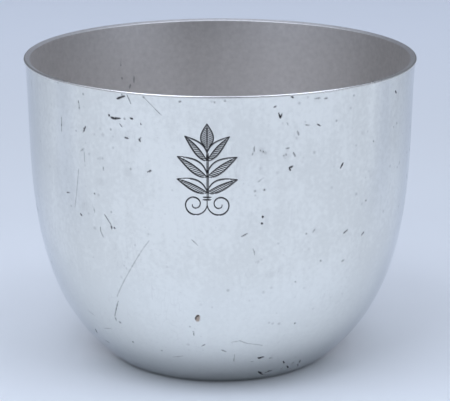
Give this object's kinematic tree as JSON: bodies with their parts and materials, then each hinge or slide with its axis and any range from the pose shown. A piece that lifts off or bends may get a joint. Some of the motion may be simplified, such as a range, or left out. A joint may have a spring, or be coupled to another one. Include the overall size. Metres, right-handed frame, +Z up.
{
  "type": "drinking cup",
  "caption": "Small round-bottomed metal drinking cup with a plain wire-edged lip, a flat standing ring and an engraved ornament on its front.",
  "frame": {"origin": "centre of the flat ring that the cup stands on, at the height of the table", "axes": "+Z up along the cup's axis of revolution, -Y towards the engraved front"},
  "size_m": [0.084, 0.084, 0.066],
  "materials": {
    "polished_silver": "polished silver plate with fine scratches and small dents outside, satin inside, engraved and darkened ornament on the front",
    "satin_silver": "satin silver plate with fine turning lines",
    "rim_silver": "bright polished silver plate, worn smooth"
  },
  "bodies": {
    "root": {"cup_body": "polished_silver", "base_disc": "satin_silver", "rim_wire": "rim_silver"}
  },
  "joints": []
}
